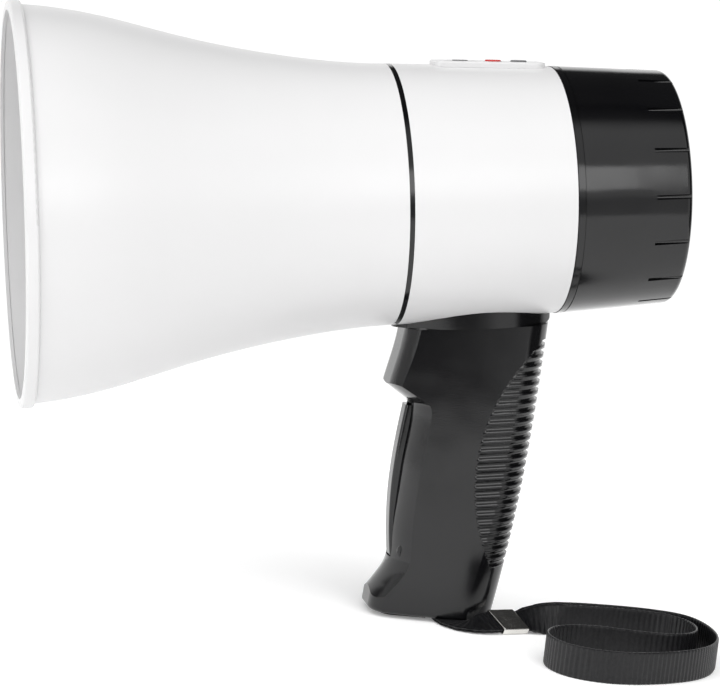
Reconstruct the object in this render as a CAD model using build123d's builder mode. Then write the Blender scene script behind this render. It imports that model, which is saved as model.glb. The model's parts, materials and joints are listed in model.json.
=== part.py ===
"""Handheld megaphone: reflex horn and driver, battery body with a twist-off rear cap,
pistol grip with a talk trigger, and a webbing wrist strap that lies on the ground.

Millimetres, +Z up. The megaphone stands on the pad under its grip, on Z = 0, with the
mouth towards -X. The horn axis lies in the XZ plane and droops towards the mouth.
"Station" means distance along the horn axis from the mouth.
"""
from build123d import *
from math import cos, pi, radians, sin, sqrt, tan
import os

os.makedirs("parts", exist_ok=True)

# ---------------------------------------------------------------- driving dimensions
droop = 7.6                    # degrees the horn axis falls towards the mouth
axis_height = 149.0            # mouth centre above the ground
wall = 2.2                     # casing thickness

mouth_radius = 80.0
bell_end = 149.0               # station where the bell stops
body_start = 151.0             # the black seam ring fills the gap between the two
body_end = 216.0
body_front_radius = 52.2
body_rear_radius = 49.6
cap_start = 216.3
cap_end = 263.0
cap_front_radius = 49.8
cap_rear_radius = 46.9
cap_edge = 2.5                 # rounding of the cap's rear edge

grip_half_width = 18.2
grip_wall = 2.5
grip_base = 1.8                # underside of the grip above the ground
grip_top = -53.1               # height of the grip's top below the horn axis


web_width = 12.5
web_thickness = 0.8

# ---------------------------------------------------------------- frame of the horn
rear_reach = ((cap_end - cap_edge) * cos(radians(droop))
              + (cap_rear_radius - cap_edge) * sin(radians(droop)) + cap_edge)
rim_round = 1.2
front_reach = (mouth_radius - rim_round) * sin(radians(droop)) + rim_round * (1 - cos(radians(droop)))
mouth_x = -(rear_reach - front_reach) / 2      # centres the casing over the origin

rearward = Vector(cos(radians(droop)), 0, sin(radians(droop)))
upward = Vector(-sin(radians(droop)), 0, cos(radians(droop)))
mouth = Vector(mouth_x, 0, axis_height)
horn_axis = Axis(mouth, rearward)
horn_side = Plane(origin=mouth, x_dir=rearward, z_dir=(0, -1, 0))
grip_side = Plane(origin=(mouth_x, 0, 0), x_dir=(1, 0, 0), z_dir=(0, -1, 0))


def station(along, up=0.0, across=0.0):
    """Plane square to the horn axis, local x towards +Y, local y up."""
    origin = mouth + rearward * along + upward * up + Vector(0, across, 0)
    return Plane(origin=origin, x_dir=(0, 1, 0), z_dir=rearward)


def deck(along, up, across=0.0):
    """Plane parallel to the horn axis, local x rearward, local z up."""
    origin = mouth + rearward * along + upward * up + Vector(0, across, 0)
    return Plane(origin=origin, x_dir=rearward, z_dir=upward)


def outline(*points):
    """Face in the horn's side plane through (station, radius) corners."""
    with BuildSketch(horn_side) as face:
        with BuildLine():
            Polyline(*points, close=True)
        make_face()
    return face.sketch


def band(start, end, outer, inner=0.0):
    """Rectangular face in the horn's side plane, from radius inner to outer."""
    return outline((start, inner), (end, inner), (end, outer), (start, outer))


def save(part, name):
    part.label = name
    export_step(part, f"parts/{name}.step")


# ================================================================ horn
bell_curve = [(1.5, 78.6), (20, 76.6), (40, 72.4), (60, 66.8), (80, 61.7), (105, 56.8),
              (130, 53.4), (bell_end, body_front_radius)]
boss_circle = 46.8

with BuildPart() as horn_bell:
    with BuildSketch(horn_side):
        with BuildLine():
            Spline(*bell_curve)
            Line(bell_curve[-1], (bell_end, body_front_radius - wall))
            Spline(*[(along, radius - wall) for along, radius in reversed(bell_curve)])
            Line((1.5, 78.6 - wall), bell_curve[0])
        make_face()
    revolve(axis=horn_axis)
    with BuildSketch(station(124)):
        with PolarLocations(boss_circle, 4, 45):
            Circle(5)
    extrude(amount=10)
    with BuildSketch(station(125.5)):
        with PolarLocations(boss_circle, 4, 45):
            Circle(1.25)
    extrude(amount=8.5, mode=Mode.SUBTRACT)
save(horn_bell.part, "horn_bell")

with BuildPart() as mouth_rim:
    with BuildSketch(horn_side):
        with BuildLine():
            Polyline((0, 76.2), (1.4, 76.2), (1.4, 78.7), (5.2, 78.7), (5.2, 80), (0, 80), close=True)
        make_face()
    revolve(axis=horn_axis)
    outer_edges = mouth_rim.edges().filter_by(GeomType.CIRCLE).sort_by(lambda e: e.radius)[-2:]
    fillet(outer_edges, radius=rim_round)
save(mouth_rim.part, "mouth_rim")

cup_outside = [(5.5, 0), (7.2, 12), (13.5, 22.5), (25, 27)]
cup_inside = [(25, 25.2), (15, 20.8), (9.3, 11.2), (7.5, 0)]

with BuildPart() as reflector_cup:
    with BuildSketch(horn_side):
        with BuildLine():
            Spline(*cup_outside, tangents=[(0, 1), (1, 0.15)])
            Polyline((25, 27), (64, 30.5), (64, 28.8), (25, 25.2))
            Spline(*cup_inside, tangents=[(-1, -0.15), (0, -1)])
            Line((7.5, 0), (5.5, 0))
        make_face()
    revolve(axis=horn_axis)
    revolve(band(30, 52, 14.2, 12.7), axis=horn_axis)
    with BuildSketch(station(30)):
        with PolarLocations(19.6, 3, 90):
            Rectangle(12.4, 1.8)
    extrude(amount=22)
save(reflector_cup.part, "reflector_cup")

with BuildPart() as tone_arm:
    revolve(outline((24, 9.6), (60, 9.0), (131, 6.0), (134, 6.0), (134, 31), (131, 31),
                    (130.4, 9), (60, 11.5), (52, 12.6), (24, 12.6)), axis=horn_axis)
    with BuildSketch(station(131)):
        with PolarLocations(28, 4):
            Circle(1.25)
    extrude(amount=3, mode=Mode.SUBTRACT)
save(tone_arm.part, "tone_arm")

with BuildPart() as driver_frame:
    revolve(band(134, 137, 51.0, 6.0), axis=horn_axis)
    with BuildSketch(station(137)):
        with PolarLocations(43, 4):
            Circle(4)
    extrude(amount=15)
    with BuildSketch(station(142)):
        with PolarLocations(43, 4):
            Circle(1.25)
    extrude(amount=10, mode=Mode.SUBTRACT)
    with BuildSketch(station(134)):
        with PolarLocations(boss_circle - 1.5, 4, 45):
            Circle(1.7)
        with PolarLocations(28, 4):
            Circle(1.7)
    extrude(amount=3, mode=Mode.SUBTRACT)
    with BuildSketch(station(134)):
        with PolarLocations(boss_circle, 4, 45):
            Circle(1.7)
    extrude(amount=3, mode=Mode.SUBTRACT)
    revolve(band(134, 137, 60, 50.6), axis=horn_axis, mode=Mode.SUBTRACT)
save(driver_frame.part, "driver_frame")


def pan_screws(circle, count, first, seat, shank, length, head, name):
    """Screws on a circle, heads to the rear, seated on the station `seat`."""
    with BuildPart() as screws:
        with BuildSketch(station(seat)):
            with PolarLocations(circle, count, first):
                Circle(head / 2)
        extrude(amount=0.4 * head)
        with BuildSketch(station(seat)):
            with PolarLocations(circle, count, first):
                Circle(shank / 2)
        extrude(amount=-length)
        with BuildSketch(station(seat + 0.4 * head)):
            with PolarLocations(circle, count, first):
                Rectangle(0.5 * head, 0.8)
                Rectangle(0.8, 0.5 * head)
        extrude(amount=-0.2 * head, mode=Mode.SUBTRACT)
    save(screws.part, name)


pan_screws(boss_circle, 4, 45, 137, 2.4, 10, 5.4, "frame_screws")

# ================================================================ driver
driver_screw_circle = 28.0

with BuildPart() as driver_cover:
    revolve(outline((137, 6), (138.8, 6), (138.8, 22.5), (141.4, 24.6), (143, 24.6), (143, 31),
                    (137, 31)), axis=horn_axis)
    with BuildSketch(station(137)):
        with PolarLocations(driver_screw_circle, 4):
            Circle(1.7)
    extrude(amount=6, mode=Mode.SUBTRACT)
save(driver_cover.part, "driver_cover")

with BuildPart() as diaphragm:
    with BuildSketch(horn_side):
        with BuildLine():
            ThreePointArc((140.0, 13.2), (140.2, 17.5), (143.0, 22.0))
            Polyline((143.0, 22.0), (143.0, 24.4), (143.4, 24.4), (143.4, 21.6))
            ThreePointArc((143.4, 21.6), (140.7, 17.4), (140.5, 13.2))
            Line((140.5, 13.2), (140.0, 13.2))
        make_face()
    revolve(axis=horn_axis)
    with BuildSketch(horn_side):
        with BuildLine():
            ThreePointArc((143.6, 0), (142.9, 7), (140.0, 13.2))
            Line((140.0, 13.2), (140.5, 13.2))
            ThreePointArc((140.5, 13.2), (143.4, 7), (144.1, 0))
            Line((144.1, 0), (143.6, 0))
        make_face()
    revolve(axis=horn_axis)
save(diaphragm.part, "diaphragm")

with BuildPart() as voice_coil:
    revolve(band(141.4, 150.0, 13.1, 12.7), axis=horn_axis)
    revolve(band(144.5, 150.0, 13.5, 13.0), axis=horn_axis)
save(voice_coil.part, "voice_coil")

with BuildPart() as top_plate:
    revolve(band(143.5, 147.5, 25.0, 13.9), axis=horn_axis)
save(top_plate.part, "top_plate")

with BuildPart() as magnet_ring:
    revolve(band(147.5, 158.5, 30.0, 17.0), axis=horn_axis)
    chamfer(magnet_ring.edges().filter_by(GeomType.CIRCLE).group_by(lambda e: e.radius)[-1], length=0.8)
save(magnet_ring.part, "magnet_ring")

with BuildPart() as yoke:
    revolve(outline((144.8, 3), (144.8, 12.3), (158.5, 12.3), (158.5, 27.5), (162.5, 27.5), (162.5, 3)),
            axis=horn_axis)
save(yoke.part, "yoke")

pan_screws(driver_screw_circle, 4, 0, 143, 2.4, 12, 5.0, "driver_screws")

# ================================================================ body
taper = (body_front_radius - body_rear_radius) / (body_end - body_start)


def body_radius(along):
    return body_front_radius - taper * (along - body_start)


with BuildPart() as seam_ring:
    revolve(outline((143, 48.0), (157, 48.0), (157, body_radius(157) - wall - 0.1), (151, 49.9), (151, 52.2),
                    (149, 52.2), (149, 49.9), (143, 49.9)), axis=horn_axis)
    with BuildSketch(station(151.5)):
        with PolarLocations(45, 4):
            Rectangle(11, 10)
    extrude(amount=6, mode=Mode.SUBTRACT)
save(seam_ring.part, "seam_ring")

spigot_radius = 46.6
spigot_end = 226.0
lug_width = 20.0               # degrees
panel_front = 168.0
panel_length = 45.5
panel_width = 16.6
panel_middle = panel_front + panel_length / 2
cable_hole = 180.0             # station of the hole for the cable into the grip
saddle_places = [(161.5, -5), (161.5, 5), (200, -7), (200, 7)]      # its screws: station, across

with BuildPart() as body_shell:
    revolve(outline((body_start, body_front_radius - wall), (213, body_radius(213) - wall), (213, 44.6),
                    (spigot_end, 44.6), (spigot_end, spigot_radius), (body_end, spigot_radius),
                    (body_end, body_rear_radius), (body_start, body_front_radius)), axis=horn_axis)
    revolve(band(168, 171, body_radius(171) - 0.5 * wall, 42.5), axis=horn_axis)
    with BuildSketch(station(152)):
        with PolarLocations(45, 4):
            Rectangle(10, 9)
    extrude(amount=3)
    revolve(band(151, 156, 60, body_radius(151)), axis=horn_axis, mode=Mode.SUBTRACT)
    with BuildSketch(station(152)):
        with PolarLocations(43, 4):
            Circle(1.7)
    extrude(amount=3, mode=Mode.SUBTRACT)
    for angle in (0, 120, 240):
        revolve(band(220, 222.5, 47.35, spigot_radius - 0.5).rotate(horn_axis, angle), axis=horn_axis,
                revolution_arc=lug_width)
    with BuildSketch(deck(0, -60)):
        with Locations((cable_hole, 0)):
            Circle(6)
        with Locations(*saddle_places):
            Circle(1.4)
    extrude(amount=20, mode=Mode.SUBTRACT)
    with BuildSketch(deck(0, -48.1)):
        with Locations(*saddle_places):
            Circle(3)
    extrude(amount=6, mode=Mode.SUBTRACT)
    with BuildSketch(deck(panel_middle, 40)):
        Rectangle(37, 11)
    extrude(amount=20, mode=Mode.SUBTRACT)
save(body_shell.part, "body_shell")

pan_screws(43, 4, 0, 155, 2.4, 12, 5.0, "body_screws")

# ================================================================ electronics in the body
with BuildPart() as amp_board:
    revolve(band(166.4, 168, 47.5), axis=horn_axis)
    with BuildSketch(station(166.4)):
        with PolarLocations(43, 4):
            Circle(6.5)
        with Locations((0, -44)):
            Circle(7)
    extrude(amount=1.6, mode=Mode.SUBTRACT)
save(amp_board.part, "amp_board")

with BuildPart() as amp_heatsink:
    with BuildSketch(station(168)):
        with Locations((-14, 8)):
            Rectangle(18, 16)
    extrude(amount=2)
    with BuildSketch(station(170)):
        with Locations((-14, 8)):
            with GridLocations(3.2, 0, 6, 1):
                Rectangle(1.2, 16)
    extrude(amount=5)
save(amp_heatsink.part, "amp_heatsink")

with BuildPart() as capacitors:
    with BuildSketch(station(168)):
        with Locations((12, 12), (24, 4), (12, -10)):
            Circle(4)
    extrude(amount=7)
    top_rims = capacitors.edges().filter_by(GeomType.CIRCLE).group_by(Axis(mouth, rearward))[-1]
    fillet(top_rims, radius=0.6)
save(capacitors.part, "capacitors")

cell_circle = 27.6
cell_radius = 13.1
cell_start = 181.0
cell_length = 49.0

with BuildPart() as battery_holder:
    revolve(band(176, 178.5, 44.0), axis=horn_axis)
    revolve(band(171, 176, 44.0, 42.5), axis=horn_axis)
    revolve(band(178.5, 228, 13.2), axis=horn_axis)
    revolve(band(178.5, 228, 44.0, 42.2), axis=horn_axis)
    revolve(band(178.5, 228, 11.2, 0), axis=horn_axis, mode=Mode.SUBTRACT)
    with BuildSketch(station(176)):
        with PolarLocations(cell_circle, 6, 30):
            Circle(1.5)
    extrude(amount=2.5, mode=Mode.SUBTRACT)
save(battery_holder.part, "battery_holder")

with BuildPart() as battery_cells:
    with BuildSketch(station(cell_start)):
        with PolarLocations(cell_circle, 6, 30):
            Circle(cell_radius)
    extrude(amount=cell_length - 1.5)
    fillet(battery_cells.edges().filter_by(GeomType.CIRCLE), radius=1.2)
    with BuildSketch(station(cell_start + cell_length - 1.5)):
        with PolarLocations(cell_circle, 6, 30):
            Circle(3.2)
    extrude(amount=1.5)
save(battery_cells.part, "battery_cells")

with BuildPart() as cell_springs:
    for turn, radius in enumerate((6.5, 4.8, 3.2)):
        with BuildSketch(station(178.5 + 0.8 * turn)):
            with PolarLocations(cell_circle, 6, 30):
                Circle(radius)
                Circle(radius - 1.7, mode=Mode.SUBTRACT)
        extrude(amount=0.9)
save(cell_springs.part, "cell_springs")

# ================================================================ control panel on top
panel_rise = 1.7
panel_tilt = Plane(origin=deck(panel_front, body_radius(panel_front) + panel_rise).origin,
                   x_dir=(rearward - upward * taper).normalized(),
                   z_dir=(upward + rearward * taper).normalized())
slider_at = 11.5               # places on the panel, from its front edge
siren_at = 25.0
record_at = 35.5

with BuildPart() as control_panel:
    with BuildSketch(panel_tilt):
        with Locations((panel_length / 2, 0)):
            RectangleRounded(panel_length, panel_width, 4.5)
    extrude(amount=-6)
    fillet(control_panel.faces().sort_by(Axis(mouth, upward))[-1].edges(), radius=0.7)
    revolve(outline((160, 0), (160, body_radius(160)), (220, body_radius(220)), (220, 0)), axis=horn_axis,
            mode=Mode.SUBTRACT)
    with BuildSketch(panel_tilt):
        with Locations((slider_at, 0)):
            SlotOverall(13, 5)
        with Locations((siren_at, 0), (record_at, 0)):
            Circle(3.6)
    extrude(amount=-8, mode=Mode.SUBTRACT)
save(control_panel.part, "control_panel")

with BuildPart() as panel_board:
    with BuildSketch(panel_tilt.offset(-5.8)):
        with Locations((panel_length / 2, 0)):
            Rectangle(33, 10)
    extrude(amount=-1.2)
save(panel_board.part, "panel_board")

with BuildPart() as mode_slider:
    with BuildSketch(panel_tilt.offset(0.3)):
        with Locations((slider_at, 0)):
            SlotOverall(6.2, 4.2)
    extrude(amount=-4.8)
    with BuildSketch(panel_tilt.offset(0.3)):
        with Locations((slider_at, 0)):
            with GridLocations(1.3, 0, 3, 1):
                Rectangle(0.4, 3)
    extrude(amount=-0.4, mode=Mode.SUBTRACT)
save(mode_slider.part, "mode_slider")

with BuildPart() as mode_switch:
    with BuildSketch(panel_tilt.offset(-4.9)):
        with Locations((slider_at, 0)):
            Rectangle(11, 6)
    extrude(amount=-0.9)
save(mode_switch.part, "mode_switch")

with BuildPart() as tact_switches:
    with BuildSketch(panel_tilt.offset(-4.4)):
        with Locations((siren_at, 0), (record_at, 0)):
            Rectangle(6, 6)
    extrude(amount=-1.4)
save(tact_switches.part, "tact_switches")

for button_name, place in (("siren_button", siren_at), ("record_button", record_at)):
    with BuildPart() as button:
        with BuildSketch(panel_tilt.offset(0.6)):
            with Locations((place, 0)):
                Circle(3.25)
        extrude(amount=-3.8)
        fillet(button.edges().filter_by(GeomType.CIRCLE).sort_by(Axis(mouth, upward))[-1], radius=0.4)
    save(button.part, button_name)

# ================================================================ rear cap
groove_count = 16
groove_start = 248.0
face_station = 258.0           # recessed rear face of the cap
face_plate = 2.2
knob_drop = 27.0               # volume knob below the horn axis

with BuildPart() as rear_cap:
    revolve(outline((cap_start, 47.85), (cap_start, cap_front_radius), (218.6, cap_front_radius),
                    (218.6, 49.35), (219.2, 49.35), (219.2, 49.65), (240, 48.4),
                    (cap_end, cap_rear_radius), (cap_end, 40.5), (face_station, 39.5), (face_station, 0),
                    (face_station - face_plate, 0), (face_station - face_plate, 42.5), (240, 46.0),
                    (228, 47.85)), axis=horn_axis)
    rear_edge = rear_cap.edges().filter_by(GeomType.CIRCLE).group_by(Axis(mouth, rearward))[-1]
    fillet(rear_edge.sort_by(lambda e: e.radius)[-1], radius=cap_edge)
    for angle in (0, 120, 240):
        revolve(band(217, 219.6, 48.2, 46.95).rotate(horn_axis, angle), axis=horn_axis,
                revolution_arc=lug_width)
    with BuildSketch(station(face_station - face_plate)):
        Circle(13.5)
        with Locations((0, -knob_drop)):
            Circle(3.3)
    extrude(amount=face_plate, mode=Mode.SUBTRACT)
    with BuildSketch(station(groove_start)):
        with PolarLocations(48.3, groove_count):
            SlotOverall(4.4, 1.8)
    extrude(amount=20, mode=Mode.SUBTRACT)
    with BuildSketch(station(234.6)):
        with PolarLocations(38, 3, 90):
            Circle(2.5)
    extrude(amount=face_station - face_plate - 234.6)
save(rear_cap.part, "rear_cap")

with BuildPart() as mic_grille:
    with BuildSketch(horn_side):
        with BuildLine():
            Polyline((face_station - 2.2, 0), (face_station - 2.2, 13.2), (face_station, 13.2),
                     (face_station, 15.5), (face_station + 1.2, 15.5))
            ThreePointArc((face_station + 1.2, 15.5), (face_station + 2.2, 9), (face_station + 2.6, 0))
            Line((face_station + 2.6, 0), (face_station - 2.2, 0))
        make_face()
    revolve(axis=horn_axis)
    for holes, circle in ((6, 3.4), (12, 6.8), (18, 10.2)):
        with BuildSketch(station(face_station - 2.2)):
            with PolarLocations(circle, holes):
                Circle(0.9)
        extrude(amount=6, mode=Mode.SUBTRACT)
    with BuildSketch(station(face_station - 2.2)):
        Circle(0.9)
    extrude(amount=6, mode=Mode.SUBTRACT)
save(mic_grille.part, "mic_grille")

with BuildPart() as mic_boot:
    revolve(outline((248, 0), (248, 8), (254.8, 8), (254.8, 12.5), (255.8, 12.5), (255.8, 4.9),
                    (249.1, 4.9), (249.1, 0)), axis=horn_axis)
save(mic_boot.part, "mic_boot")

with BuildPart() as mic_capsule:
    revolve(band(249.1, 255.4, 4.9), axis=horn_axis)
save(mic_capsule.part, "mic_capsule")

with BuildPart() as volume_pot:
    with BuildSketch(station(248, up=-knob_drop)):
        Circle(8)
    extrude(amount=6.8)
    with BuildSketch(station(254.8, up=-knob_drop)):
        Circle(5)
    extrude(amount=1)
    with BuildSketch(station(247.5, up=-knob_drop)):
        Circle(3.4)
    extrude(amount=9, mode=Mode.SUBTRACT)
save(volume_pot.part, "volume_pot")

with BuildPart() as volume_knob:
    with BuildSketch(station(face_station + 0.5, up=-knob_drop)):
        Circle(7.5)
        with PolarLocations(7.7, 18):
            Circle(0.5, mode=Mode.SUBTRACT)
    extrude(amount=5)
    with BuildSketch(station(249, up=-knob_drop)):
        Circle(3)
    extrude(amount=face_station + 0.5 - 249)
    with BuildSketch(station(face_station + 5.5, up=-knob_drop)):
        with Locations((0, 4.2)):
            Rectangle(1, 5)
    extrude(amount=-0.6, mode=Mode.SUBTRACT)
save(volume_knob.part, "volume_knob")

with BuildPart() as cap_board:
    revolve(band(233, 234.6, 43.5, 14), axis=horn_axis)
save(cap_board.part, "cap_board")

with BuildPart() as cap_contacts:
    with BuildSketch(station(231.0)):
        with PolarLocations(cell_circle, 3, 60):
            Rectangle(7, 34)
    extrude(amount=0.5)
    with BuildSketch(station(231.5)):
        with PolarLocations(cell_circle, 3, 60):
            Rectangle(4, 5)
    extrude(amount=1.5)
save(cap_contacts.part, "cap_contacts")

# ================================================================ grip
grip_front = [(158.6, grip_base), (157.2, 48), (156.8, 94.4), (159.2, 107), (158.4, 135)]
grip_back = [(219.5, 140), (218.4, 90), (216.9, 60), (214.4, 34), (209.9, grip_base)]
scoop_front = [(166.9, 82), (165.7, 66), (165.0, 48), (165.2, 32), (164.6, 19.8), (160.8, 12.9), (156.0, 6.0)]
scoop_fall = 7.5               # how far the finger surface falls back at the sides


def scoop(inset):
    """Everything in front of the finger surface, which is the same curve at every height."""
    with BuildPart() as cutter:
        for across in (-22, -11, 0, 11, 22):
            back = inset + scoop_fall * (across / grip_half_width) ** 2
            path = [(along + back, up) for along, up in scoop_front]
            with BuildSketch(grip_side.offset(-across)):
                with BuildLine():
                    Polyline(
                        (120, path[-1][1]),
                        (120, 104.5 + 0.5 * inset),
                        (138.2 + back, 104.5 + 0.5 * inset),
                        (165.2 + back, 88 + 0.5 * inset),
                    )
                    Spline((165.2 + back, 88 + 0.5 * inset), *path, tangents=[(0.85, -0.53), (-0.6, -0.8)])
                    Line(path[-1], (120, path[-1][1]))
                make_face()
        loft(ruled=False)
    return cutter.part


side_crown = 192.0              # the grip is widest here
side_radius = 150.0             # and its sides are this slightly crowned


def side_point(along, inset, side=1):
    """Point on the crowned side of the grip, in plan."""
    fall = (along - side_crown) ** 2 / (2 * side_radius)
    return (mouth_x + along, side * (grip_half_width - inset - fall))


def grip_form(inset, bottom, top_up):
    """The grip's outer shape, drawn in by inset on every side."""
    with BuildPart() as form:
        with BuildSketch(grip_side):
            with BuildLine():
                Spline(*[(along + inset, up) for along, up in grip_front])
                Line(
                    (grip_front[-1][0] + inset, grip_front[-1][1]),
                    (grip_back[0][0] - inset, grip_back[0][1]),
                )
                Spline(*[(along - inset, up) for along, up in grip_back])
                Line((grip_back[-1][0] - inset, grip_base), (grip_front[0][0] + inset, grip_base))
            make_face()
        extrude(amount=grip_half_width - inset, both=True)
        uprights = form.edges().filter_by(GeomType.BSPLINE).group_by(Axis.X)
        fillet(uprights[-1], radius=15.5 - inset)
        uprights = form.edges().filter_by(GeomType.BSPLINE).group_by(Axis.X)
        fillet(uprights[0], radius=12 - inset)
        with BuildSketch(Plane.XY.offset(-20)):
            with BuildLine():
                ThreePointArc(*[side_point(along, inset) for along in (150, side_crown, 228)])
                ThreePointArc(*[side_point(along, inset, -1) for along in (150, side_crown, 228)])
                Line(side_point(150, inset), side_point(150, inset, -1))
                Line(side_point(228, inset), side_point(228, inset, -1))
            make_face()
        extrude(amount=200, mode=Mode.INTERSECT)
        add(scoop(inset), mode=Mode.SUBTRACT)
        with BuildSketch(deck(180, top_up)):
            Rectangle(200, 100)
        extrude(amount=40, mode=Mode.SUBTRACT)
        if bottom < grip_base:
            extrude(form.faces().sort_by(Axis.Z)[0], amount=grip_base - bottom)
        else:
            fillet(form.faces().sort_by(Axis.Z)[0].edges(), radius=1.6)
    return form.part


# grip-strengthening grooves across the back, parallel to the horn axis
rib_count = 25
rib_pitch = 3.7
rib_first = -60.5              # height of the first groove below the horn axis
rib_depth = 1.1
rib_arc = 75.0                 # the grooves end on an arc of this radius
rib_arc_centre = (255.0, -120.0)

with BuildPart() as rib_cutter:
    with BuildSketch(horn_side):
        for index in range(rib_count):
            up = rib_first - rib_pitch * index
            groove_left = rib_arc_centre[0] - sqrt(rib_arc ** 2 - (up - rib_arc_centre[1]) ** 2)
            with Locations((groove_left + 25, up)):
                SlotOverall(50, 2.1)
    extrude(amount=25, both=True)
    add(grip_form(rib_depth, grip_base, grip_top), mode=Mode.SUBTRACT)

grip_inside = grip_form(grip_wall, -3, grip_top + 5)

pivot = (170.6, 27.0)          # trigger pivot in the grip's side plane
boss_reach = 11.5              # how far its bosses reach from the middle
trigger_width = 9.6
slot_low = 23.2
slot_high = 86.3
boss_places = [(196, 106), (192, 62), (190, 16)]

with BuildPart() as grip_shell:
    add(grip_form(0, grip_base, grip_top))
    add(grip_inside, mode=Mode.SUBTRACT)
    add(rib_cutter.part, mode=Mode.SUBTRACT)
    with BuildSketch(grip_side):
        with Locations(*boss_places):
            Circle(3.6)
    extrude(amount=grip_half_width - 1, both=True)
    with BuildSketch(grip_side.offset(-trigger_width / 2 - 1.5)):
        with Locations(pivot):
            Circle(3.2)
    extrude(amount=trigger_width / 2 + 1.5 - boss_reach)
    with BuildSketch(grip_side.offset(trigger_width / 2 + 1.5)):
        with Locations(pivot):
            Circle(3.2)
    extrude(amount=boss_reach - trigger_width / 2 - 1.5)
    with BuildSketch(grip_side):
        with Locations(pivot):
            Circle(1.5)
    extrude(amount=boss_reach - 1, both=True, mode=Mode.SUBTRACT)
    # window for the trigger
    with BuildSketch(grip_side):
        with Locations((164, (slot_low + slot_high) / 2)):
            Rectangle(14, slot_high - slot_low)
    extrude(amount=trigger_width / 2 + 0.3, both=True, mode=Mode.SUBTRACT)
    # screw pilots through the bosses
    with BuildSketch(grip_side):
        with Locations(*boss_places):
            Circle(1.25)
    extrude(amount=grip_half_width - 3.5, both=True, mode=Mode.SUBTRACT)

with BuildPart() as handle_left:
    add(grip_shell.part)
    split(bisect_by=Plane(origin=(0, 0, 0), z_dir=(0, -1, 0)))
save(handle_left.part, "handle_left")

with BuildPart() as handle_right:
    add(grip_shell.part)
    split(bisect_by=Plane(origin=(0, 0, 0), z_dir=(0, 1, 0)))
    with BuildSketch(grip_side):
        with Locations(*boss_places):
            Circle(1.6)
    extrude(amount=-grip_half_width - 1, mode=Mode.SUBTRACT)
    with BuildSketch(grip_side.offset(-12)):
        with Locations(*boss_places):
            Circle(3.0)
    extrude(amount=-10, mode=Mode.SUBTRACT)
save(handle_right.part, "handle_right")

with BuildPart() as handle_screws:
    with BuildSketch(grip_side.offset(-12)):
        with Locations(*boss_places):
            Circle(2.7)
    extrude(amount=-2)
    with BuildSketch(grip_side.offset(-12)):
        with Locations(*boss_places):
            Circle(1.2)
    extrude(amount=24)
    with BuildSketch(grip_side.offset(-14)):
        with Locations(*boss_places):
            Rectangle(2.6, 0.7)
            Rectangle(0.7, 2.6)
    extrude(amount=1.2, mode=Mode.SUBTRACT)
save(handle_screws.part, "handle_screws")

# ================================================================ saddle between grip and body
saddle_front = 150.5
saddle_rear = 215.6
saddle_half_width = 20.5

with BuildPart() as handle_saddle:
    with BuildSketch(deck(0, grip_top)):
        with BuildLine():
            ThreePointArc((saddle_front + 1, -4), (182, -saddle_half_width), (saddle_rear - 1, -4))
            ThreePointArc((saddle_rear - 1, -4), (saddle_rear, 0), (saddle_rear - 1, 4))
            ThreePointArc((saddle_rear - 1, 4), (182, saddle_half_width), (saddle_front + 1, 4))
            ThreePointArc((saddle_front + 1, 4), (saddle_front, 0), (saddle_front + 1, -4))
        make_face()
    extrude(amount=12)
    with BuildSketch(deck(0, grip_top)):
        with Locations(*saddle_places):
            Circle(3.4)
    extrude(amount=-8)
    revolve(outline((140, 0), (140, body_radius(140)), (225, body_radius(225)), (225, 0)), axis=horn_axis,
            mode=Mode.SUBTRACT)
    with BuildSketch(deck(0, grip_top - 8)):
        with Locations(*saddle_places):
            Circle(1.2)
        with Locations((cable_hole, 0)):
            Circle(6)
    extrude(amount=20, mode=Mode.SUBTRACT)
    with BuildSketch(horn_side):
        with BuildLine():
            ThreePointArc((211.8, grip_top), (214.3, grip_top + 0.9), (saddle_rear, grip_top + 2.9))
            Polyline((saddle_rear, grip_top + 2.9), (220, grip_top + 2.9), (220, grip_top - 3),
                     (211.8, grip_top - 3), (211.8, grip_top))
        make_face()
    extrude(amount=30, both=True, mode=Mode.SUBTRACT)
save(handle_saddle.part, "handle_saddle")

with BuildPart() as saddle_screws:
    with BuildSketch(deck(0, grip_top - 6)):
        with Locations(*saddle_places):
            Circle(1.15)
    extrude(amount=11)
    with BuildSketch(deck(0, grip_top + 5)):
        with Locations(*saddle_places):
            Circle(2.6)
    extrude(amount=1.8)
save(saddle_screws.part, "saddle_screws")

# ================================================================ trigger and talk switch
nose = [(165.9, 23.6), (163.8, 39.2), (163.1, 52), (163.7, 70.2), (165.1, 85.4)]

with BuildPart() as trigger:
    with BuildSketch(grip_side):
        with BuildLine():
            Spline(*nose)
            Line(nose[-1], (172.2, 85.4))
            Spline((172.2, 85.4), (171.0, 70), (170.4, 52), (171.4, 36), (174.0, 23.6))
            Line((174.0, 23.6), nose[0])
        make_face()
    extrude(amount=trigger_width / 2, both=True)
    fillet(trigger.edges().filter_by(GeomType.BSPLINE).group_by(Axis.X)[0], radius=1.6)
    with BuildSketch(grip_side):
        with Locations(pivot):
            Circle(3.4)
    extrude(amount=trigger_width / 2, both=True)
    with BuildSketch(grip_side):
        with Locations(pivot):
            Circle(1.55)
    extrude(amount=trigger_width / 2, both=True, mode=Mode.SUBTRACT)
save(trigger.part, "trigger")

with BuildPart() as trigger_pin:
    with BuildSketch(grip_side):
        with Locations(pivot):
            Circle(1.5)
    extrude(amount=boss_reach - 1.2, both=True)
save(trigger_pin.part, "trigger_pin")

spring_height = 66.0
spring_front = 171.2
spring_rear = 180.0

with BuildPart() as spring_seat:
    with BuildSketch(grip_side):
        with Locations((spring_rear + 1, spring_height)):
            Rectangle(2, 8.6)
    extrude(amount=grip_half_width - grip_wall, both=True)
    add(grip_inside, mode=Mode.INTERSECT)
save(spring_seat.part, "spring_seat")

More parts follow.
